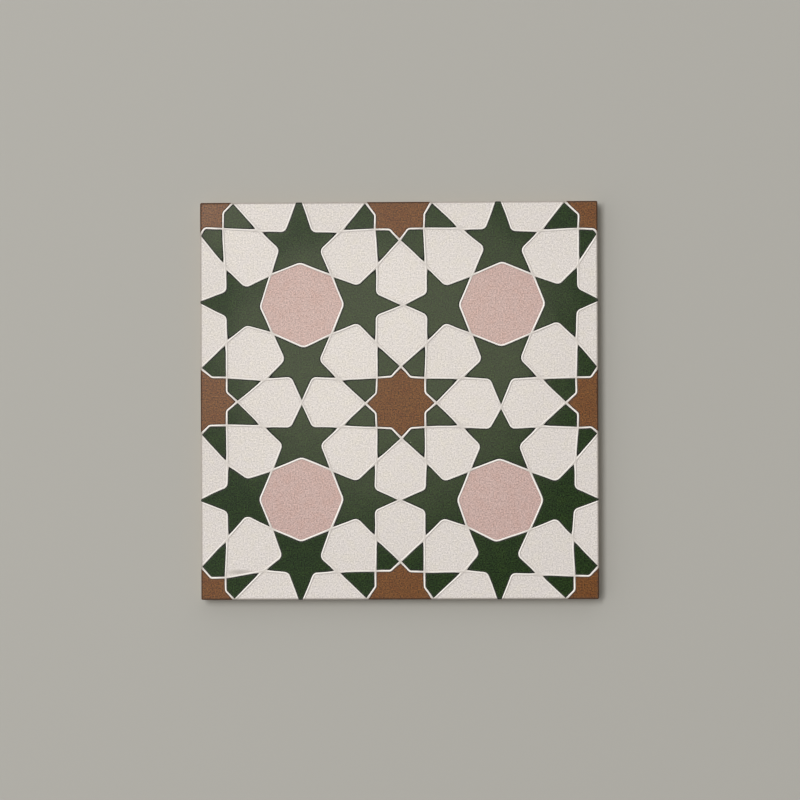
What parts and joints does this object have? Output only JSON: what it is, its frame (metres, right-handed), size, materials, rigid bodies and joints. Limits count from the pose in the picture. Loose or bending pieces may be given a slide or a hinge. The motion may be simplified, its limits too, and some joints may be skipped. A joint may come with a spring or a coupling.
{
  "type": "square patterned ceramic tile",
  "caption": "Flat square glazed tile with raised lines around the coloured fields of a geometric star pattern, a rounded face edge and a keyed back.",
  "frame": {"origin": "centre of the tile's back, on the plane that it is bedded on", "axes": "+Z out of the glazed face, X and Y along the sides; the pattern looks the same after each quarter turn"},
  "size_m": [0.2, 0.2, 0.008],
  "materials": {
    "glazed_tile": "satin glaze in cream, pink, brown and green over a pale fired body"
  },
  "bodies": {
    "root": {"tile": "glazed_tile"}
  },
  "joints": []
}
